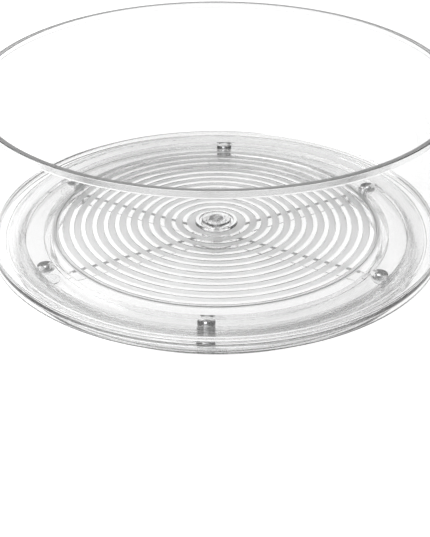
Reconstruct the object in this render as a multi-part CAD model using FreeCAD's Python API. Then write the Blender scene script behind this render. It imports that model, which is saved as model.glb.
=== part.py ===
"""Clear lazy susan turntable: a round bin that turns on six steel balls over a spoked base.

Units are millimetres. The origin is on the table, on the turning axis, and +Z points up.
"""
import FreeCAD, Part
import math
import os

# Driving dimensions of the bin
RIM_RADIUS = 142.6
TOTAL_HEIGHT = 109.2
FLOOR_TOP = 16.2
FLOOR_THICKNESS = 2.6
WALL_FOOT_RADIUS = 139.2
WALL_THICKNESS = 2.6
WALL_FILLET = 3.0
RIM_LIP_WIDTH = 3.4
RIM_LIP_DEPTH = 4.4
RIM_ROUNDING = 0.6
SKIRT_BOTTOM = 10.2
STIFFENER_RADIUS = 129.5
STIFFENER_THICKNESS = 1.5
STIFFENER_DEPTH = 2.4

# Grip rings moulded on the floor, with a narrower, higher border round them
RING_COUNT = 12
RING_PITCH = 7.0
FIRST_RING_RADIUS = 19.6
RING_WIDTH = 3.0
RING_HEIGHT = 0.25
RING_DRAFT = 0.15
BORDER_RADIUS = 99.9
BORDER_WIDTH = 1.4
BORDER_HEIGHT = 0.6
BORDER_DRAFT = 0.3

# Rolling balls, held in pockets in the thick ring under the bin's floor
BALL_COUNT = 6
BALL_RADIUS = 4.75
BALL_CIRCLE_RADIUS = 112.6
BALL_CENTRE_HEIGHT = 7.7
FIRST_BALL_ANGLE = 27.2
POCKET_RADIUS = 5.0
POCKET_CLEARANCE = 0.15
POCKET_LIP_RADIUS = 4.7
POCKET_LIP_HEIGHT = 0.4
BALL_RING_INNER_RADIUS = 106.8
BALL_RING_OUTER_RADIUS = 118.4
BALL_RING_BOTTOM = 5.9

# Base under the bin
BASE_BOTTOM = 0.8
RACE_TOP = 2.8
RACE_INNER_RADIUS = 101.5
RACE_OUTER_RADIUS = 126.0
LIP_THICKNESS = 1.8
LIP_TOP = 9.0
OUTER_LIP_RADIUS = 123.9
SPOKE_ANGLES = (30.0, 150.0, 210.0, 330.0)
SPOKE_WIDTH = 2.4
SPOKE_TOP = 7.6
HUB_RADIUS = 16.0
HUB_TOP = 4.6
POST_RADIUS = 6.0
POST_TOP = 17.3

# Pivot through the middle
PIVOT_CLEARANCE = 0.05
SLEEVE_RADIUS = 9.0
SLEEVE_BOTTOM = 5.1
COLLAR_OUTER_RADIUS = 13.1
COLLAR_INNER_RADIUS = 10.6
COLLAR_HEIGHT = 1.6
PIVOT_SEAT_HEIGHT = 0.8
CAP_RADIUS = 9.1
CAP_THICKNESS = 1.4
RIVET_HEAD_RADIUS = 4.6
RIVET_HEAD_HEIGHT = 1.2
RIVET_FLAT_RADIUS = 1.6
RIVET_SHANK_RADIUS = 2.0
RIVET_TAIL_RADIUS = 3.4
RIVET_TAIL_HEIGHT = 0.4
WASHER_RADIUS = 6.0
WASHER_THICKNESS = 0.8
WASHER_RECESS_RADIUS = 6.3

# Non-slip pads bonded under the race ring
PAD_COUNT = 6
PAD_RADIUS = 6.0
PAD_CHAMFER = 0.2
FIRST_PAD_ANGLE = 30.0

AXIS = FreeCAD.Vector(0, 0, 1)
ORIGIN = FreeCAD.Vector(0, 0, 0)


def revolved(outline):
    """Turn a closed outline of (radius, height) corners about the axis.

    A corner of four numbers ends an arc: its first two are a point half-way along it.
    """
    edges = []
    start = FreeCAD.Vector(outline[-1][-2], 0, outline[-1][-1])
    for corner in outline:
        end = FreeCAD.Vector(corner[-2], 0, corner[-1])
        if len(corner) == 4:
            middle = FreeCAD.Vector(corner[0], 0, corner[1])
            edges.append(Part.Arc(start, middle, end).toShape())
        else:
            edges.append(Part.LineSegment(start, end).toShape())
        start = end
    face = Part.Face(Part.Wire(edges))
    return face.revolve(ORIGIN, AXIS, 360)


def disc(radius, bottom, top, centre=(0.0, 0.0)):
    """Upright cylinder between two heights."""
    base = FreeCAD.Vector(centre[0], centre[1], bottom)
    return Part.makeCylinder(radius, top - bottom, base)


def annulus(inner, outer, bottom, top):
    """Flat ring about the axis."""
    return disc(outer, bottom, top).cut(disc(inner, bottom, top))


def circle_points(count, radius, first_angle):
    """Evenly spaced points on a circle about the axis."""
    points = []
    for index in range(count):
        angle = math.radians(first_angle + index * 360.0 / count)
        points.append((radius * math.cos(angle), radius * math.sin(angle)))
    return points


def raised_ring(radius, width, height, draft):
    """Corners of one ring on the floor, from its outer foot inwards."""
    half = width / 2
    crest = FLOOR_TOP + height
    return [
        (radius + half, FLOOR_TOP),
        (radius + half - draft, crest),
        (radius - half + draft, crest),
        (radius - half, FLOOR_TOP),
    ]


def floor_ring_outline():
    """Corners of the border and the grip rings, from the outside inwards."""
    corners = raised_ring(BORDER_RADIUS, BORDER_WIDTH, BORDER_HEIGHT, BORDER_DRAFT)
    for index in reversed(range(RING_COUNT)):
        radius = FIRST_RING_RADIUS + index * RING_PITCH
        corners += raised_ring(radius, RING_WIDTH, RING_HEIGHT, RING_DRAFT)
    return corners


def bin_outline():
    """Section of the bin: sleeve, floor, skirt, wall, rim lip and collar."""
    floor_bottom = FLOOR_TOP - FLOOR_THICKNESS
    bore = POST_RADIUS + PIVOT_CLEARANCE
    lip_inner = RIM_RADIUS - RIM_LIP_WIDTH
    lip_bottom = TOTAL_HEIGHT - RIM_LIP_DEPTH
    lip_step = RIM_LIP_WIDTH - WALL_THICKNESS
    rim_bulge = RIM_ROUNDING * (1 - math.sqrt(0.5))
    wall_inner = WALL_FOOT_RADIUS - WALL_THICKNESS
    fillet_bulge = WALL_FILLET * math.sqrt(0.5)
    fillet_height = FLOOR_TOP + WALL_FILLET
    seat = FLOOR_TOP + PIVOT_SEAT_HEIGHT
    collar_top = FLOOR_TOP + COLLAR_HEIGHT
    collar_round = 0.5
    outline = [
        (bore, SLEEVE_BOTTOM),
        (SLEEVE_RADIUS, SLEEVE_BOTTOM),
        (SLEEVE_RADIUS, floor_bottom),
        (wall_inner, floor_bottom),
        (wall_inner, SKIRT_BOTTOM),
        (WALL_FOOT_RADIUS, SKIRT_BOTTOM),
        (RIM_RADIUS - lip_step, lip_bottom),
        (RIM_RADIUS, lip_bottom + lip_step),
        (RIM_RADIUS, TOTAL_HEIGHT - RIM_ROUNDING),
        (RIM_RADIUS - rim_bulge, TOTAL_HEIGHT - rim_bulge,
         RIM_RADIUS - RIM_ROUNDING, TOTAL_HEIGHT),
        (lip_inner + RIM_ROUNDING, TOTAL_HEIGHT),
        (lip_inner + rim_bulge, TOTAL_HEIGHT - rim_bulge,
         lip_inner, TOTAL_HEIGHT - RIM_ROUNDING),
        (wall_inner, fillet_height),
        (wall_inner - WALL_FILLET + fillet_bulge, fillet_height - fillet_bulge,
         wall_inner - WALL_FILLET, FLOOR_TOP),
    ]
    outline += floor_ring_outline()
    outline += [
        (COLLAR_OUTER_RADIUS, FLOOR_TOP),
        (COLLAR_OUTER_RADIUS, collar_top - collar_round),
        (COLLAR_OUTER_RADIUS - collar_round, collar_top),
        (COLLAR_INNER_RADIUS + collar_round, collar_top),
        (COLLAR_INNER_RADIUS, collar_top - collar_round),
        (COLLAR_INNER_RADIUS, seat),
        (bore, seat),
    ]
    return outline


def make_bin():
    """The bin in one moulding, with a stiffening rib and the thick ball ring under its floor."""
    floor_middle = FLOOR_TOP - FLOOR_THICKNESS / 2
    rib_inner = STIFFENER_RADIUS - STIFFENER_THICKNESS / 2
    rib_outer = STIFFENER_RADIUS + STIFFENER_THICKNESS / 2
    rib_bottom = FLOOR_TOP - FLOOR_THICKNESS - STIFFENER_DEPTH
    shape = revolved(bin_outline()).fuse([
        annulus(rib_inner, rib_outer, rib_bottom, floor_middle),
        annulus(BALL_RING_INNER_RADIUS, BALL_RING_OUTER_RADIUS, BALL_RING_BOTTOM, floor_middle),
    ])
    ceiling = BALL_CENTRE_HEIGHT + BALL_RADIUS + POCKET_CLEARANCE
    lip_top = BALL_RING_BOTTOM + POCKET_LIP_HEIGHT
    for pocket in circle_points(BALL_COUNT, BALL_CIRCLE_RADIUS, FIRST_BALL_ANGLE):
        shape = shape.cut(disc(POCKET_LIP_RADIUS, BALL_RING_BOTTOM, lip_top, pocket))
        shape = shape.cut(disc(POCKET_RADIUS, lip_top, ceiling, pocket))
    return shape.removeSplitter()


def make_race_ring():
    """Flat ring that the balls roll on, between two lips."""
    return revolved([
        (RACE_INNER_RADIUS, BASE_BOTTOM),
        (RACE_OUTER_RADIUS, BASE_BOTTOM),
        (RACE_OUTER_RADIUS, RACE_TOP),
        (OUTER_LIP_RADIUS, RACE_TOP),
        (OUTER_LIP_RADIUS, LIP_TOP),
        (OUTER_LIP_RADIUS - LIP_THICKNESS, LIP_TOP),
        (OUTER_LIP_RADIUS - LIP_THICKNESS, RACE_TOP),
        (RACE_INNER_RADIUS + LIP_THICKNESS, RACE_TOP),
        (RACE_INNER_RADIUS + LIP_THICKNESS, LIP_TOP),
        (RACE_INNER_RADIUS, LIP_TOP),
    ])


def make_spoke(angle):
    """Upright rib from the hub to the inner lip of the race ring."""
    start = HUB_RADIUS - SPOKE_WIDTH
    length = RACE_INNER_RADIUS + LIP_THICKNESS / 2 - start
    corner = FreeCAD.Vector(start, -SPOKE_WIDTH / 2, BASE_BOTTOM)
    spoke = Part.makeBox(length, SPOKE_WIDTH, SPOKE_TOP - BASE_BOTTOM, corner)
    spoke.rotate(ORIGIN, AXIS, angle)
    return spoke


def make_base():
    """The base: race ring, four spokes and a hub with the pivot post."""
    hub = disc(HUB_RADIUS, BASE_BOTTOM, HUB_TOP)
    post = disc(POST_RADIUS, BASE_BOTTOM, POST_TOP)
    spokes = [make_spoke(angle) for angle in SPOKE_ANGLES]
    shape = make_race_ring().fuse([hub, post] + spokes)
    recess_top = BASE_BOTTOM + RIVET_TAIL_HEIGHT + WASHER_THICKNESS
    bore = disc(RIVET_SHANK_RADIUS, BASE_BOTTOM, POST_TOP)
    recess = disc(WASHER_RECESS_RADIUS, BASE_BOTTOM, recess_top)
    return shape.cut([bore, recess]).removeSplitter()


def make_ball(centre):
    """One steel ball in its pocket."""
    return Part.makeSphere(BALL_RADIUS, FreeCAD.Vector(centre[0], centre[1], BALL_CENTRE_HEIGHT))


def make_cap():
    """Round cap on top of the pivot post, with a rounded upper edge."""
    top = POST_TOP + CAP_THICKNESS
    round_off = 0.7
    bulge = round_off * math.sqrt(0.5)
    return revolved([
        (RIVET_SHANK_RADIUS, POST_TOP),
        (CAP_RADIUS, POST_TOP),
        (CAP_RADIUS, top - round_off),
        (CAP_RADIUS - round_off + bulge, top - round_off + bulge, CAP_RADIUS - round_off, top),
        (RIVET_SHANK_RADIUS, top),
    ])


def make_rivet():
    """Pin through the cap, post and washer: domed head with a flat top above, closed tail below."""
    head_bottom = POST_TOP + CAP_THICKNESS
    head_top = head_bottom + RIVET_HEAD_HEIGHT
    tail_top = BASE_BOTTOM + RIVET_TAIL_HEIGHT
    shoulder = (RIVET_HEAD_RADIUS + RIVET_FLAT_RADIUS) / 2
    return revolved([
        (0.0, BASE_BOTTOM),
        (RIVET_TAIL_RADIUS, BASE_BOTTOM),
        (RIVET_TAIL_RADIUS, tail_top),
        (RIVET_SHANK_RADIUS, tail_top),
        (RIVET_SHANK_RADIUS, head_bottom),
        (RIVET_HEAD_RADIUS, head_bottom),
        (shoulder, head_bottom + 0.75 * RIVET_HEAD_HEIGHT, RIVET_FLAT_RADIUS, head_top),
        (0.0, head_top),
    ])


def make_washer():
    """Washer under the base hub, which the tail of the rivet closes against."""
    bottom = BASE_BOTTOM + RIVET_TAIL_HEIGHT
    return annulus(RIVET_SHANK_RADIUS, WASHER_RADIUS, bottom, bottom + WASHER_THICKNESS)


def make_pad(centre):
    """Soft pad between the race ring and the table, with a chamfer round its foot."""
    foot = FreeCAD.Vector(centre[0], centre[1], 0.0)
    chamfer = Part.makeCone(PAD_RADIUS - PAD_CHAMFER, PAD_RADIUS, PAD_CHAMFER, foot)
    return chamfer.fuse(disc(PAD_RADIUS, PAD_CHAMFER, BASE_BOTTOM, centre)).removeSplitter()


def all_nodes():
    """Every piece of the turntable by name."""
    nodes = {
        "bin_tray": make_bin(),
        "base_frame": make_base(),
        "pivot_cap": make_cap(),
        "pivot_rivet": make_rivet(),
        "rivet_washer": make_washer(),
    }
    balls = circle_points(BALL_COUNT, BALL_CIRCLE_RADIUS, FIRST_BALL_ANGLE)
    for index, centre in enumerate(balls, start=1):
        nodes["race_ball_%d" % index] = make_ball(centre)
    pads = circle_points(PAD_COUNT, BALL_CIRCLE_RADIUS, FIRST_PAD_ANGLE)
    for index, centre in enumerate(pads, start=1):
        nodes["foot_pad_%d" % index] = make_pad(centre)
    return nodes


os.makedirs("parts", exist_ok=True)
for name, shape in all_nodes().items():
    shape.exportStep("parts/%s.step" % name)
    print(name, shape.isValid(), len(shape.Solids), round(shape.Volume, 1))
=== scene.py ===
"""Looks of the clear lazy susan turntable. Lengths are in metres, in the CAD model's frame."""
import math

import bmesh
import bpy
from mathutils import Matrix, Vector


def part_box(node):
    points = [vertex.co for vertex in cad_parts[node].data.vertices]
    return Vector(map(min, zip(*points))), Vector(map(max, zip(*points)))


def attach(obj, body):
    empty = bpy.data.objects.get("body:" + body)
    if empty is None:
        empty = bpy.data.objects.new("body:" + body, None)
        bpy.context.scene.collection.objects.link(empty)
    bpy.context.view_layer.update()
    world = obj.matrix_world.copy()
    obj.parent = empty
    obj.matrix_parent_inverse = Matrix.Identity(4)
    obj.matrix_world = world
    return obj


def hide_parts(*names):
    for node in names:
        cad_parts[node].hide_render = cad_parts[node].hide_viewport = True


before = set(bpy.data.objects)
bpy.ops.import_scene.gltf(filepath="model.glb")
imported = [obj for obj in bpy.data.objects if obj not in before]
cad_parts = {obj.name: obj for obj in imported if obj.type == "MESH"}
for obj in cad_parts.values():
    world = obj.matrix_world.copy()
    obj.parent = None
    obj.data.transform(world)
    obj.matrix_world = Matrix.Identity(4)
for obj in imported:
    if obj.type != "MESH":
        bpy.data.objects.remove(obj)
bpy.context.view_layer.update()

MM = 0.001
LARGE_SEGMENTS = 288
SMALL_SEGMENTS = 96
POCKET_SEGMENTS = 64
ROUNDING_STEPS = 4

# Heights closer than this count as one surface
TOUCH = 0.05 * MM

# Air between pivot pieces that touch
HAIR = 0.03 * MM

# Places taken from the CAD nodes
BIN_LOW, BIN_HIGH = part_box("bin_tray")
BASE_LOW, BASE_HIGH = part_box("base_frame")
CAP_LOW, CAP_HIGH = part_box("pivot_cap")
RIVET_LOW, RIVET_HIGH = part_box("pivot_rivet")
WASHER_LOW, WASHER_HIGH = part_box("rivet_washer")
BALL_NODES = ["race_ball_%d" % number for number in range(1, 7)]
PAD_NODES = ["foot_pad_%d" % number for number in range(1, 7)]

# Bin
RIM_RADIUS = BIN_HIGH.x
RIM_TOP = BIN_HIGH.z
WALL_HEIGHT = 93.0 * MM
FLOOR_TOP = RIM_TOP - WALL_HEIGHT
WALL_THICKNESS = 2.6 * MM
FLOOR_UNDER = FLOOR_TOP - WALL_THICKNESS
WALL_FOOT_RADIUS = 139.2 * MM
SKIRT_BOTTOM = FLOOR_TOP - 6.0 * MM
LIP_WIDTH = 3.4 * MM
LIP_DEPTH = 4.4 * MM
POST_RADIUS = 6.0 * MM
BORE_RADIUS = 6.05 * MM
SLEEVE_RADIUS = 9.0 * MM
COLLAR_OUTER = 13.1 * MM
COLLAR_INNER = 10.6 * MM
COLLAR_TOP = FLOOR_TOP + 1.6 * MM
SEAT_TOP = FLOOR_TOP + 0.8 * MM
RING_COUNT = 12
RING_PITCH = 7.0 * MM
FIRST_RING = 19.6 * MM
RING_HALF = 1.5 * MM
RING_HEIGHT = 0.25 * MM
RING_DRAFT = 0.15 * MM
BORDER_RADIUS = 99.9 * MM
BORDER_HALF = 0.7 * MM
BORDER_HEIGHT = 0.6 * MM
BORDER_DRAFT = 0.3 * MM
BORDER_EDGE = 101.8 * MM
STIFFENER_RADIUS = 129.5 * MM
STIFFENER_HALF = 0.75 * MM
STIFFENER_DEPTH = 2.4 * MM
BALL_RING_INNER = 106.8 * MM
BALL_RING_OUTER = 118.4 * MM
BALL_RING_BOTTOM = 5.9 * MM
POCKET_RADIUS = 5.0 * MM
POCKET_LIP_RADIUS = 4.7 * MM
POCKET_LIP_TOP = 6.3 * MM
POCKET_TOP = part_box("race_ball_1")[1].z + 0.15 * MM

# Base
BASE_BOTTOM = BASE_LOW.z + 0.02 * MM
RACE_TOP = 2.8 * MM
RACE_INNER = 101.5 * MM
RACE_LIP = 1.8 * MM
RACE_LIP_TOP = 9.0 * MM
OUTER_LIP = 123.9 * MM
SPOKE_ANGLES = (30.0, 150.0, 210.0, 330.0)
SPOKE_HALF = 1.2 * MM
SPOKE_TOP = 7.6 * MM
HUB_RADIUS = 16.0 * MM
HUB_TOP = 4.6 * MM

# Pivot
SHANK_RADIUS = 2.0 * MM
TAIL_RADIUS = 3.4 * MM
TAIL_THICKNESS = 0.4 * MM
RECESS_RADIUS = 6.3 * MM
RECESS_DEPTH = 1.2 * MM

# Material slots of the bin
CLEAR, BANDS, LIP_UPPER, LIP_SIDE, OUTER_FLOOR, WALL, BORDER, UNDERSIDE, POCKET_WALL = range(9)

# Material slots of the base
PAINTED_SPOKE_SHADE, SATIN = 1, 2


# ---------------------------------------------------------------- mesh tools

def rounded(corners):
    """Points of a closed outline whose (radius, height, rounding) corners are rounded off."""
    points = []
    count = len(corners)
    for index, (radius, height, rounding) in enumerate(corners):
        here = Vector((radius, height))
        if rounding == 0:
            points.append(here)
            continue
        before = (Vector(corners[index - 1][:2]) - here).normalized()
        after = (Vector(corners[(index + 1) % count][:2]) - here).normalized()
        half = before.angle(after) / 2
        centre = here + (before + after).normalized() * rounding / math.sin(half)
        first = here + before * rounding / math.tan(half) - centre
        last = here + after * rounding / math.tan(half) - centre
        sweep = first.angle_signed(last)
        for step in range(ROUNDING_STEPS + 1):
            turn = -sweep * step / ROUNDING_STEPS
            x = first.x * math.cos(turn) - first.y * math.sin(turn)
            y = first.x * math.sin(turn) + first.y * math.cos(turn)
            points.append(centre + Vector((x, y)))
    return points


def new_piece(name, bm, materials):
    """Object with a smooth mesh made from bm."""
    mesh = bpy.data.meshes.new(name)
    for face in bm.faces:
        face.smooth = True
    bm.to_mesh(mesh)
    bm.free()
    piece = bpy.data.objects.new(name, mesh)
    bpy.context.scene.collection.objects.link(piece)
    for material in materials:
        mesh.materials.append(material)
    return piece


def lathe_mesh(points, segments, slot_of=None):
    """Closed ring of quads: the outline turned about the Z axis."""
    bm = bmesh.new()
    rings = []
    for turn in range(segments):
        angle = math.tau * turn / segments
        across, along = math.cos(angle), math.sin(angle)
        rings.append([bm.verts.new((p.x * across, p.x * along, p.y)) for p in points])
    count = len(points)
    for turn in range(segments):
        here, there = rings[turn], rings[(turn + 1) % segments]
        for index in range(count):
            after = (index + 1) % count
            face = bm.faces.new((here[index], there[index], there[after], here[after]))
            if slot_of:
                face.material_index = slot_of((points[index] + points[after]) / 2)
    bmesh.ops.recalc_face_normals(bm, faces=bm.faces)
    return bm


def solid_lathe_mesh(points, segments, centre=(0.0, 0.0)):
    """Closed solid that reaches the axis: the outline runs from the bottom centre to the top centre."""
    bm = bmesh.new()
    low = bm.verts.new((centre[0], centre[1], points[0].y))
    high = bm.verts.new((centre[0], centre[1], points[-1].y))
    rings = []
    for turn in range(segments):
        angle = math.tau * turn / segments
        across, along = math.cos(angle), math.sin(angle)
        rings.append([bm.verts.new((centre[0] + p.x * across, centre[1] + p.x * along, p.y))
                      for p in points])
    for turn in range(segments):
        here, there = rings[turn], rings[(turn + 1) % segments]
        bm.faces.new((low, there[0], here[0]))
        bm.faces.new((high, here[-1], there[-1]))
        for index in range(len(points) - 1):
            bm.faces.new((here[index], there[index], there[index + 1], here[index + 1]))
    bmesh.ops.recalc_face_normals(bm, faces=bm.faces)
    return bm


def combine(piece, tool, operation):
    """Boolean of the two meshes; tool is used up."""
    modifier = piece.modifiers.new("combine", "BOOLEAN")
    modifier.object = tool
    modifier.operation = operation
    modifier.solver = "EXACT"
    depsgraph = bpy.context.evaluated_depsgraph_get()
    result = bpy.data.meshes.new_from_object(piece.evaluated_get(depsgraph))
    piece.modifiers.clear()
    old = piece.data
    piece.data = result
    bpy.data.meshes.remove(old)
    bpy.data.objects.remove(tool)


def even_normals(piece):
    """Shade flat faces flat and roundings round."""
    modifier = piece.modifiers.new("normals", "WEIGHTED_NORMAL")
    modifier.keep_sharp = True
    modifier.weight = 80


# ---------------------------------------------------------------- materials

def new_material(name):
    """Material with its Principled shader, and its node tree."""
    material = bpy.data.materials.new(name)
    material.use_nodes = True
    tree = material.node_tree
    shader = tree.nodes["Principled BSDF"]
    return material, tree, shader


def noise(tree, scale, detail=3.0):
    """Noise in the piece's own coordinates."""
    place = tree.nodes.new("ShaderNodeTexCoord")
    texture = tree.nodes.new("ShaderNodeTexNoise")
    texture.inputs["Scale"].default_value = scale
    texture.inputs["Detail"].default_value = detail
    tree.links.new(place.outputs["Object"], texture.inputs["Vector"])
    return texture.outputs["Fac"]


def spread(tree, value, low, high):
    """Map a 0 to 1 value onto low to high."""
    remap = tree.nodes.new("ShaderNodeMapRange")
    remap.inputs["To Min"].default_value = low
    remap.inputs["To Max"].default_value = high
    tree.links.new(value, remap.inputs["Value"])
    return remap.outputs["Result"]


def bump(tree, shader, height, distance):
    """Relief on the surface."""
    node = tree.nodes.new("ShaderNodeBump")
    node.inputs["Strength"].default_value = 1.0
    node.inputs["Distance"].default_value = distance
    tree.links.new(height, node.inputs["Height"])
    tree.links.new(node.outputs["Normal"], shader.inputs["Normal"])


def grey_between(tree, value, dark, light):
    """Neutral colour that goes from dark to light as the value goes from 0 to 1."""
    ramp = tree.nodes.new("ShaderNodeValToRGB")
    ramp.color_ramp.elements[0].color = (dark, dark, dark, 1.0)
    ramp.color_ramp.elements[1].color = (light, light, light, 1.0)
    tree.links.new(value, ramp.inputs["Fac"])
    return ramp.outputs["Color"]


def moulded(tree, shader):
    """Faint waviness and unevenness of a polished moulding."""
    tree.links.new(spread(tree, noise(tree, 60.0), 0.0, 0.04), shader.inputs["Roughness"])
    bump(tree, shader, noise(tree, 45.0, 1.0), 0.02 * MM)


def smooth_step(tree, value, start, end, low=0.0, high=1.0):
    """Go smoothly from low to high as the value goes from start to end."""
    remap = tree.nodes.new("ShaderNodeMapRange")
    remap.interpolation_type = "SMOOTHSTEP"
    remap.inputs["From Min"].default_value = start
    remap.inputs["From Max"].default_value = end
    remap.inputs["To Min"].default_value = low
    remap.inputs["To Max"].default_value = high
    tree.links.new(value, remap.inputs["Value"])
    return remap.outputs["Result"]


def clear_plastic(name, grey):
    """Polished clear plastic with the faint waviness of a moulding."""
    material, tree, shader = new_material(name)
    shader.inputs["Transmission Weight"].default_value = 1.0
    shader.inputs["IOR"].default_value = 1.53
    shader.inputs["Base Color"].default_value = (grey, grey, grey, 1.0)
    moulded(tree, shader)
    return material


def clear_wall_edge_shade(name, grey, edge_shade):
    """Polished clear plastic with painted shade: its colour darkens where the wall is looked at along
    its length, standing in for the dark band a thick clear edge shows.
    """
    material, tree, shader = new_material(name)
    shader.inputs["Transmission Weight"].default_value = 1.0
    shader.inputs["IOR"].default_value = 1.5
    # Painted shade: the colour darkens as the view runs along the wall.
    facing = tree.nodes.new("ShaderNodeLayerWeight")
    along = smooth_step(tree, facing.outputs["Facing"], 0.65, 1.0)
    tree.links.new(grey_between(tree, along, grey, edge_shade), shader.inputs["Base Color"])
    moulded(tree, shader)
    return material


def frosted_bands_hub_shade(name):
    """Finely textured clear plastic between the polished rings, with painted shade that greys it towards
    the pivot.
    """
    material, tree, shader = new_material(name)
    shader.inputs["Transmission Weight"].default_value = 1.0
    shader.inputs["IOR"].default_value = 1.45
    place = tree.nodes.new("ShaderNodeTexCoord")
    distance = tree.nodes.new("ShaderNodeVectorMath")
    distance.operation = "LENGTH"
    tree.links.new(place.outputs["Object"], distance.inputs[0])
    # Painted shade: the bands are greyer near the pivot and lighter outwards, as less light reaches the
    # middle of the floor.
    painted_hub_shade = tree.nodes.new("ShaderNodeMapRange")
    painted_hub_shade.inputs["From Max"].default_value = 100.0 * MM
    painted_hub_shade.inputs["To Min"].default_value = 0.15
    painted_hub_shade.inputs["To Max"].default_value = 0.85
    tree.links.new(distance.outputs["Value"], painted_hub_shade.inputs["Value"])
    # Random grain mixed with the painted shade towards the pivot.
    grain = tree.nodes.new("ShaderNodeMath")
    grain.operation = "MULTIPLY_ADD"
    grain.inputs[1].default_value = 0.5
    tree.links.new(noise(tree, 1100.0, 2.0), grain.inputs[0])
    tree.links.new(painted_hub_shade.outputs["Result"], grain.inputs[2])
    level = tree.nodes.new("ShaderNodeMath")
    level.operation = "SUBTRACT"
    level.inputs[1].default_value = 0.25
    tree.links.new(grain.outputs["Value"], level.inputs[0])
    tree.links.new(grey_between(tree, level.outputs["Value"], 0.7, 0.93), shader.inputs["Base Color"])
    tree.links.new(spread(tree, noise(tree, 900.0), 0.3, 0.5), shader.inputs["Roughness"])
    bump(tree, shader, noise(tree, 1400.0, 2.0), 0.04 * MM)
    return material


def textured_plastic(name, grey, rough, clear=1.0):
    """Clear plastic with a fine matt texture, for narrow edges."""
    material, tree, shader = new_material(name)
    shader.inputs["Transmission Weight"].default_value = clear
    shader.inputs["IOR"].default_value = 1.45
    grain = noise(tree, 700.0)
    tree.links.new(grey_between(tree, grain, grey * 0.85, grey * 1.1), shader.inputs["Base Color"])
    tree.links.new(spread(tree, grain, *rough), shader.inputs["Roughness"])
    bump(tree, shader, noise(tree, 1400.0, 2.0), 0.03 * MM)
    return material


def satin_plastic(name, grey):
    """Clear plastic with streaks round the axis, as a turned mould leaves them."""
    material, tree, shader = new_material(name)
    shader.inputs["Transmission Weight"].default_value = 1.0
    shader.inputs["IOR"].default_value = 1.5
    # Painted shade: this grey tints the satin faces darker; they lie under the floor of the bin.
    shader.inputs["Base Color"].default_value = (grey, grey, grey, 1.0)
    place = tree.nodes.new("ShaderNodeTexCoord")
    streaks = tree.nodes.new("ShaderNodeTexWave")
    streaks.wave_type = "RINGS"
    streaks.rings_direction = "Z"
    streaks.inputs["Scale"].default_value = 160.0
    streaks.inputs["Distortion"].default_value = 6.0
    streaks.inputs["Detail"].default_value = 3.0
    tree.links.new(place.outputs["Object"], streaks.inputs["Vector"])
    tree.links.new(spread(tree, streaks.outputs["Fac"], 0.12, 0.4), shader.inputs["Roughness"])
    bump(tree, shader, streaks.outputs["Fac"], 0.03 * MM)
    return material


def polished_steel(name):
    """Bearing steel with fine polishing marks."""
    material, tree, shader = new_material(name)
    shader.inputs["Metallic"].default_value = 1.0
    shader.inputs["Base Color"].default_value = (0.72, 0.73, 0.74, 1.0)
    tree.links.new(spread(tree, noise(tree, 1500.0), 0.04, 0.1), shader.inputs["Roughness"])
    bump(tree, shader, noise(tree, 2500.0), 0.004 * MM)
    return material


def soft_clear_pad(name):
    """Cloudy soft plastic."""
    material, tree, shader = new_material(name)
    shader.inputs["Transmission Weight"].default_value = 1.0
    shader.inputs["IOR"].default_value = 1.41
    shader.inputs["Base Color"].default_value = (0.97, 0.97, 0.97, 1.0)
    tree.links.new(spread(tree, noise(tree, 800.0), 0.02, 0.12), shader.inputs["Roughness"])
    bump(tree, shader, noise(tree, 1200.0), 0.01 * MM)
    return material


def dress(node, material):
    """Give a CAD node its procedural material."""
    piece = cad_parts[node]
    for index in range(len(piece.material_slots)):
        piece.material_slots[index].material = material


# ---------------------------------------------------------------- bin

def raised_ring(radius, half, height, draft, rounding):
    """Corners of one ring on the floor, from its outer foot inwards."""
    crest = FLOOR_TOP + height
    return [
        (radius + half, FLOOR_TOP, rounding / 2),
        (radius + half - draft, crest, rounding),
        (radius - half + draft, crest, rounding),
        (radius - half, FLOOR_TOP, rounding / 2),
    ]


def floor_ring_corners():
    """Border and grip rings, from the outside inwards."""
    corners = [(BORDER_EDGE, FLOOR_TOP, 0)]
    corners += raised_ring(BORDER_RADIUS, BORDER_HALF, BORDER_HEIGHT, BORDER_DRAFT, 0.2 * MM)
    for index in reversed(range(RING_COUNT)):
        radius = FIRST_RING + index * RING_PITCH
        corners += raised_ring(radius, RING_HALF, RING_HEIGHT, RING_DRAFT, 0.1 * MM)
    return corners


def underside_corners():
    """Thick ball ring and the stiffening rib under the floor, going outwards."""
    rib_bottom = FLOOR_UNDER - STIFFENER_DEPTH
    return [
        (BALL_RING_INNER, FLOOR_UNDER, 0.3 * MM),
        (BALL_RING_INNER, BALL_RING_BOTTOM, 0.4 * MM),
        (BALL_RING_OUTER, BALL_RING_BOTTOM, 0.4 * MM),
        (BALL_RING_OUTER, FLOOR_UNDER, 0.3 * MM),
        (STIFFENER_RADIUS - STIFFENER_HALF, FLOOR_UNDER, 0.2 * MM),
        (STIFFENER_RADIUS - STIFFENER_HALF, rib_bottom, 0.3 * MM),
        (STIFFENER_RADIUS + STIFFENER_HALF, rib_bottom, 0.3 * MM),
        (STIFFENER_RADIUS + STIFFENER_HALF, FLOOR_UNDER, 0.2 * MM),
    ]


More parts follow.
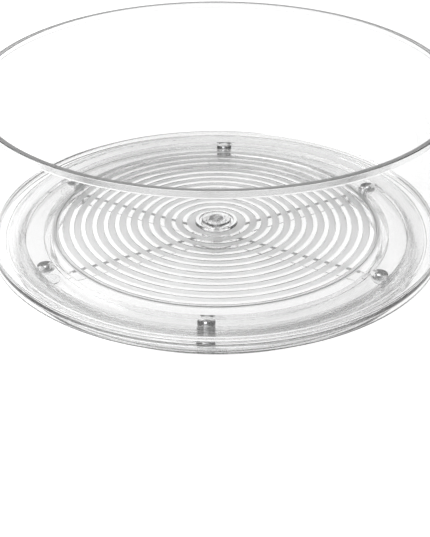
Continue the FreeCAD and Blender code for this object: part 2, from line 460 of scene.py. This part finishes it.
def bin_corners():
    """Section of the bin, anticlockwise from the bottom of its bore."""
    wall_inner = WALL_FOOT_RADIUS - WALL_THICKNESS
    lip_step = LIP_WIDTH - WALL_THICKNESS
    lip_bottom = RIM_TOP - LIP_DEPTH
    corners = [
        (BORE_RADIUS, BIN_LOW.z, 0.3 * MM),
        (SLEEVE_RADIUS, BIN_LOW.z, 0.3 * MM),
        (SLEEVE_RADIUS, FLOOR_UNDER, 0.6 * MM),
    ]
    corners += underside_corners()
    corners += [
        (wall_inner, FLOOR_UNDER, 0.8 * MM),
        (wall_inner, SKIRT_BOTTOM, 0.5 * MM),
        (WALL_FOOT_RADIUS, SKIRT_BOTTOM, 0.8 * MM),
        (RIM_RADIUS - lip_step, lip_bottom, 0.8 * MM),
        (RIM_RADIUS, lip_bottom + lip_step, 0.5 * MM),
        (RIM_RADIUS, RIM_TOP, 0.6 * MM),
        (RIM_RADIUS - LIP_WIDTH, RIM_TOP, 0.6 * MM),
        (wall_inner, FLOOR_TOP, 3.0 * MM),
    ]
    corners += floor_ring_corners()
    corners += [
        (COLLAR_OUTER, FLOOR_TOP, 0.3 * MM),
        (COLLAR_OUTER, COLLAR_TOP, 0.5 * MM),
        (COLLAR_INNER, COLLAR_TOP, 0.5 * MM),
        (COLLAR_INNER, SEAT_TOP, 0.3 * MM),
        (BORE_RADIUS, SEAT_TOP, 0.2 * MM),
    ]
    return corners


def finish_here(place):
    """Material slot on the bin at a point of its section."""
    on_floor = abs(place.y - FLOOR_TOP) < TOUCH
    under_floor = abs(place.y - FLOOR_UNDER) < TOUCH
    if place.y > FLOOR_TOP - TOUCH and BORDER_RADIUS - BORDER_HALF < place.x < BORDER_EDGE:
        return BORDER
    if on_floor and place.x > COLLAR_OUTER:
        return BANDS if place.x < BORDER_RADIUS else OUTER_FLOOR
    if under_floor and BALL_RING_OUTER < place.x < STIFFENER_RADIUS:
        return UNDERSIDE
    if place.y > RIM_TOP - 2 * TOUCH:
        return LIP_UPPER
    if place.y > RIM_TOP - LIP_DEPTH:
        return LIP_SIDE
    above_foot = place.y > FLOOR_TOP + 1.0 * MM
    near_wall = place.x > WALL_FOOT_RADIUS - 5.0 * MM
    return WALL if above_foot and near_wall else CLEAR


def pocket_centres():
    """Centres of the balls."""
    centres = []
    for node in BALL_NODES:
        low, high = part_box(node)
        centres.append((low + high) / 2)
    return centres


def pocket_mesh(centre):
    """Hollow for one ball, with a narrower lip, reaching out past the bottom of the ball ring."""
    outline = [
        Vector((POCKET_LIP_RADIUS, BALL_RING_BOTTOM - 1.0 * MM)),
        Vector((POCKET_LIP_RADIUS, POCKET_LIP_TOP)),
        Vector((POCKET_RADIUS, POCKET_LIP_TOP)),
        Vector((POCKET_RADIUS, POCKET_TOP)),
    ]
    bm = solid_lathe_mesh(outline, POCKET_SEGMENTS, centre)
    for face in bm.faces:
        upright = abs(face.normal.z) < 0.1
        above_lip = face.calc_center_median().z > POCKET_LIP_TOP
        # Painted shade: the upright wall above the lip takes a grey textured finish.
        face.material_index = POCKET_WALL if upright and above_lip else CLEAR
    return bm


def make_bin(materials):
    """The bin with its ball pockets, from its materials in the order of their slots."""
    bm = lathe_mesh(rounded(bin_corners()), LARGE_SEGMENTS, finish_here)
    piece = new_piece("clear_bin", bm, materials)
    for centre in pocket_centres():
        combine(piece, new_piece("pocket", pocket_mesh(centre), materials), "DIFFERENCE")
    even_normals(piece)
    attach(piece, "tray")
    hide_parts("bin_tray")


# ---------------------------------------------------------------- base

def base_corners():
    """Section of the race ring."""
    outer = BASE_HIGH.x
    return [
        (RACE_INNER, BASE_BOTTOM, 0.4 * MM),
        (outer, BASE_BOTTOM, 0.5 * MM),
        (outer, RACE_TOP, 0.5 * MM),
        (OUTER_LIP, RACE_TOP, 0.3 * MM),
        (OUTER_LIP, RACE_LIP_TOP, 0.5 * MM),
        (OUTER_LIP - RACE_LIP, RACE_LIP_TOP, 0.5 * MM),
        (OUTER_LIP - RACE_LIP, RACE_TOP, 0.5 * MM),
        (BALL_RING_OUTER, RACE_TOP, 0),
        (RACE_INNER + RACE_LIP, RACE_TOP, 0.5 * MM),
        (RACE_INNER + RACE_LIP, RACE_LIP_TOP, 0.5 * MM),
        (RACE_INNER, RACE_LIP_TOP, 0.5 * MM),
    ]


def hub_corners():
    """Section of the hub and its post."""
    recess_top = BASE_BOTTOM + RECESS_DEPTH
    return [
        (RECESS_RADIUS, BASE_BOTTOM, 0.2 * MM),
        (HUB_RADIUS, BASE_BOTTOM, 0.4 * MM),
        (HUB_RADIUS, HUB_TOP, 0.5 * MM),
        (POST_RADIUS, HUB_TOP, 0.5 * MM),
        (POST_RADIUS, BASE_HIGH.z, 0.2 * MM),
        (SHANK_RADIUS, BASE_HIGH.z, 0),
        (SHANK_RADIUS, recess_top, 0),
        (RECESS_RADIUS, recess_top, 0.2 * MM),
    ]


def spoke_mesh(angle):
    """Upright rib with bevelled upper edges, from inside the hub to inside the lip."""
    inside_hub = HUB_RADIUS - 1.5 * MM
    # Painted shade: the top of each spoke out to here is textured and near black, for the dark look of
    # the clear spokes seen through the floor of the bin.
    shade_end = BORDER_RADIUS - 1.3 * MM
    inside_lip = RACE_INNER + RACE_LIP / 2
    foot = BASE_BOTTOM + 0.01 * MM
    bevel = 0.5 * MM
    section = [
        (-SPOKE_HALF, foot),
        (SPOKE_HALF, foot),
        (SPOKE_HALF, SPOKE_TOP - bevel),
        (SPOKE_HALF - bevel, SPOKE_TOP),
        (-SPOKE_HALF + bevel, SPOKE_TOP),
        (-SPOKE_HALF, SPOKE_TOP - bevel),
    ]
    bm = bmesh.new()
    across, along = math.cos(math.radians(angle)), math.sin(math.radians(angle))
    rows = []
    for reach in (inside_hub, shade_end, inside_lip):
        rows.append([bm.verts.new((reach * across - side * along, reach * along + side * across, up))
                     for side, up in section])
    bm.faces.new(rows[0])
    bm.faces.new(list(reversed(rows[-1])))
    for row, (here, there) in enumerate(zip(rows, rows[1:])):
        for index in range(len(section)):
            after = (index + 1) % len(section)
            face = bm.faces.new((here[index], there[index], there[after], here[after]))
            on_top = face.calc_center_median().z > SPOKE_TOP - bevel
            face.material_index = PAINTED_SPOKE_SHADE if on_top and row == 0 else CLEAR
    bmesh.ops.recalc_face_normals(bm, faces=bm.faces)
    return bm


def satin_here(place):
    """Material slot on the race ring: its upper side outside the balls' path is satin, tinted with
    painted shade.
    """
    return SATIN if place.y > RACE_TOP - 2 * TOUCH and place.x > BALL_RING_OUTER else CLEAR


def make_base(clear, spoke_shade, satin):
    """Race ring, spokes and hub in one."""
    bm = lathe_mesh(rounded(base_corners()), LARGE_SEGMENTS, satin_here)
    piece = new_piece("clear_base", bm, [clear, spoke_shade, satin])
    hub = new_piece("hub", lathe_mesh(rounded(hub_corners()), SMALL_SEGMENTS), [clear])
    combine(piece, hub, "UNION")
    for angle in SPOKE_ANGLES:
        combine(piece, new_piece("spoke", spoke_mesh(angle), [clear, spoke_shade]), "UNION")
    even_normals(piece)
    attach(piece, "base")
    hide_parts("base_frame")


# ---------------------------------------------------------------- pivot

def cap_corners():
    """Section of the cap."""
    return [
        (SHANK_RADIUS + HAIR, CAP_LOW.z + HAIR, 0.1 * MM),
        (CAP_HIGH.x, CAP_LOW.z + HAIR, 0.2 * MM),
        (CAP_HIGH.x, CAP_HIGH.z, 0.7 * MM),
        (SHANK_RADIUS + HAIR, CAP_HIGH.z, 0.1 * MM),
    ]


def washer_corners():
    """Section of the washer under the hub."""
    return [
        (SHANK_RADIUS + HAIR, WASHER_LOW.z + HAIR, 0.1 * MM),
        (WASHER_HIGH.x, WASHER_LOW.z + HAIR, 0.15 * MM),
        (WASHER_HIGH.x, WASHER_HIGH.z - HAIR, 0.15 * MM),
        (SHANK_RADIUS + HAIR, WASHER_HIGH.z - HAIR, 0.1 * MM),
    ]


def rivet_corners():
    """Section of the rivet, from the axis at its tail to the axis at its domed head."""
    tail_top = RIVET_LOW.z + TAIL_THICKNESS
    dome = 1.2 * MM
    return [
        (0.0, RIVET_LOW.z, 0),
        (TAIL_RADIUS, RIVET_LOW.z, 0.1 * MM),
        (TAIL_RADIUS, tail_top, 0.1 * MM),
        (SHANK_RADIUS - HAIR, tail_top, 0),
        (SHANK_RADIUS - HAIR, CAP_HIGH.z + HAIR, 0),
        (RIVET_HIGH.x, CAP_HIGH.z + HAIR, 0.1 * MM),
        (RIVET_HIGH.x - dome, RIVET_HIGH.z, dome),
        (0.0, RIVET_HIGH.z, 0),
    ]


def make_pivot(clear, cloudy):
    """Cap, washer and rivet, with a hair of air round each so that light bends as it should."""
    cap = lathe_mesh(rounded(cap_corners()), SMALL_SEGMENTS)
    washer = lathe_mesh(rounded(washer_corners()), SMALL_SEGMENTS)
    rivet = solid_lathe_mesh(rounded(rivet_corners())[1:-1], SMALL_SEGMENTS)
    pieces = (
        ("clear_cap", cap, clear, "pivot_cap"),
        ("clear_washer", washer, clear, "rivet_washer"),
        ("cloudy_rivet", rivet, cloudy, "pivot_rivet"),
    )
    for name, bm, material, node in pieces:
        piece = new_piece(name, bm, [material])
        even_normals(piece)
        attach(piece, "base")
        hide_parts(node)


# ---------------------------------------------------------------- stage

def sky_steps(tree, split, steps):
    """Greys of the sky by height, from (height, grey) steps."""
    ramp = tree.nodes.new("ShaderNodeValToRGB")
    while len(ramp.color_ramp.elements) < len(steps):
        ramp.color_ramp.elements.new(0.5)
    for element, (height, grey) in zip(ramp.color_ramp.elements, steps):
        element.position = height
        element.color = (grey, grey, grey, 1.0)
    tree.links.new(split.outputs["Z"], ramp.inputs["Fac"])
    return ramp.outputs["Color"]


def paint_sky(tree):
    """White horizon, large soft source up on the left, darker ceiling and right-hand side."""
    background = tree.nodes["Background"]
    background.inputs["Color"].default_value = (1.0, 1.0, 1.0, 1.0)
    place = tree.nodes.new("ShaderNodeTexCoord")
    split = tree.nodes.new("ShaderNodeSeparateXYZ")
    tree.links.new(place.outputs["Generated"], split.inputs["Vector"])
    left = sky_steps(tree, split, ((0.0, 1.0), (0.1, 1.0), (0.25, 0.68), (0.52, 0.55), (0.72, 0.1)))
    right = sky_steps(tree, split, ((0.0, 1.0), (0.12, 1.0), (0.24, 0.1), (0.72, 0.06)))
    side = smooth_step(tree, split.outputs["X"], 0.25, 0.6)
    height = tree.nodes.new("ShaderNodeMixRGB")
    tree.links.new(side, height.inputs["Fac"])
    tree.links.new(left, height.inputs["Color1"])
    tree.links.new(right, height.inputs["Color2"])
    towards = tree.nodes.new("ShaderNodeVectorMath")
    towards.operation = "DOT_PRODUCT"
    towards.inputs[1].default_value = Vector((-0.45, 0.05, 0.89)).normalized()
    tree.links.new(place.outputs["Generated"], towards.inputs[0])
    source = smooth_step(tree, towards.outputs["Value"], 0.76, 0.84, 0.0, 2.5)
    strength = tree.nodes.new("ShaderNodeMath")
    strength.operation = "MULTIPLY_ADD"
    strength.inputs[1].default_value = 1.1
    tree.links.new(height.outputs["Color"], strength.inputs[0])
    tree.links.new(source, strength.inputs[2])
    tree.links.new(strength.outputs["Value"], background.inputs["Strength"])


def make_floor():
    """Pale floor with a faint glow of its own, and painted light: the glow is brighter on the left, as
    under the soft source on that side.
    """
    bm = bmesh.new()
    bmesh.ops.create_grid(bm, x_segments=8, y_segments=8, size=6.0)
    material, tree, shader = new_material("studio_floor")
    shader.inputs["Base Color"].default_value = (0.15, 0.15, 0.15, 1.0)
    shader.inputs["Roughness"].default_value = 0.9
    shader.inputs["Specular IOR Level"].default_value = 0.0
    shader.inputs["Emission Color"].default_value = (1.0, 1.0, 1.0, 1.0)
    place = tree.nodes.new("ShaderNodeTexCoord")
    split = tree.nodes.new("ShaderNodeSeparateXYZ")
    tree.links.new(place.outputs["Object"], split.inputs["Vector"])
    # Painted light: the floor glows brighter to the left of the bin, a pool of light from the source on
    # that side.
    painted_left_light = smooth_step(tree, split.outputs["X"], -0.16, 0.0, 1.2, 0.97)
    tree.links.new(painted_left_light, shader.inputs["Emission Strength"])
    floor = new_piece("studio_floor", bm, [material])
    floor.location.z = -0.2 * MM


def make_sky():
    """Soft studio light, and enough bounces for light to pass through the clear walls."""
    scene = bpy.context.scene
    world = bpy.data.worlds.new("studio")
    scene.world = world
    world.use_nodes = True
    paint_sky(world.node_tree)
    scene.view_settings.view_transform = "Standard"
    scene.cycles.max_bounces = 24
    scene.cycles.transmission_bounces = 24
    scene.cycles.transparent_max_bounces = 16


def make_camera():
    """Camera in front of the bin, looking down on it."""
    scene = bpy.context.scene
    camera_data = bpy.data.cameras.new("camera")
    camera = bpy.data.objects.new("camera", camera_data)
    scene.collection.objects.link(camera)
    camera_data.lens = 89.0
    camera_data.clip_end = 20.0
    pitch = math.radians(30.25)
    camera.location = (-0.8 * MM, -728.6 * MM, FLOOR_TOP + 390.7 * MM)
    camera.rotation_euler = (math.pi / 2 - pitch, 0, 0)
    scene.camera = camera


make_bin([
    clear_plastic("clear_moulding", 0.995),
    # Frosted bands with painted shade, greyer towards the pivot.
    frosted_bands_hub_shade("frosted_bands_hub_shade"),
    textured_plastic("lip_top", 0.5, (0.25, 0.4), 0.5),
    textured_plastic("lip_side", 0.85, (0.1, 0.2)),
    # Painted shade: the floor outside the border is tinted greyer than the clear moulding, for the grey
    # band over the ball ring and race below.
    clear_plastic("clear_outer_floor_shade", 0.86),
    # Painted shade: the wall darkens where it is seen edge-on.
    clear_wall_edge_shade("clear_wall_edge_shade", 0.995, 0.35),
    # Painted shade: the textured border ring is grey, for the dark line seen at the edge of the ring
    # pattern.
    textured_plastic("textured_border_shade", 0.72, (0.25, 0.4)),
    # Painted shade: grey tint on the satin underside between ball ring and rib.
    satin_plastic("satin_underside_shade", 0.84),
    # Painted shade: the grey textured wall above each pocket's lip darkens the far side of the pocket,
    # for the dark crescent round each ball.
    textured_plastic("textured_pocket_shade", 0.8, (0.25, 0.4)),
])
make_base(
    clear_plastic("clear_base_moulding", 0.96),
    # Painted shade: near-black textured top of the clear spokes.
    textured_plastic("spoke_top_painted_shade", 0.05, (0.3, 0.5)),
    # Painted shade: grey tint on the satin top of the race outside the balls' path.
    satin_plastic("satin_race_shade", 0.84),
)
steel = polished_steel("bearing_steel")
for node in BALL_NODES:
    dress(node, steel)
pad = soft_clear_pad("soft_pad")
for node in PAD_NODES:
    dress(node, pad)
make_pivot(clear_plastic("clear_pivot", 0.97), textured_plastic("cloudy_pivot", 0.8, (0.15, 0.3)))
make_floor()
make_sky()
make_camera()
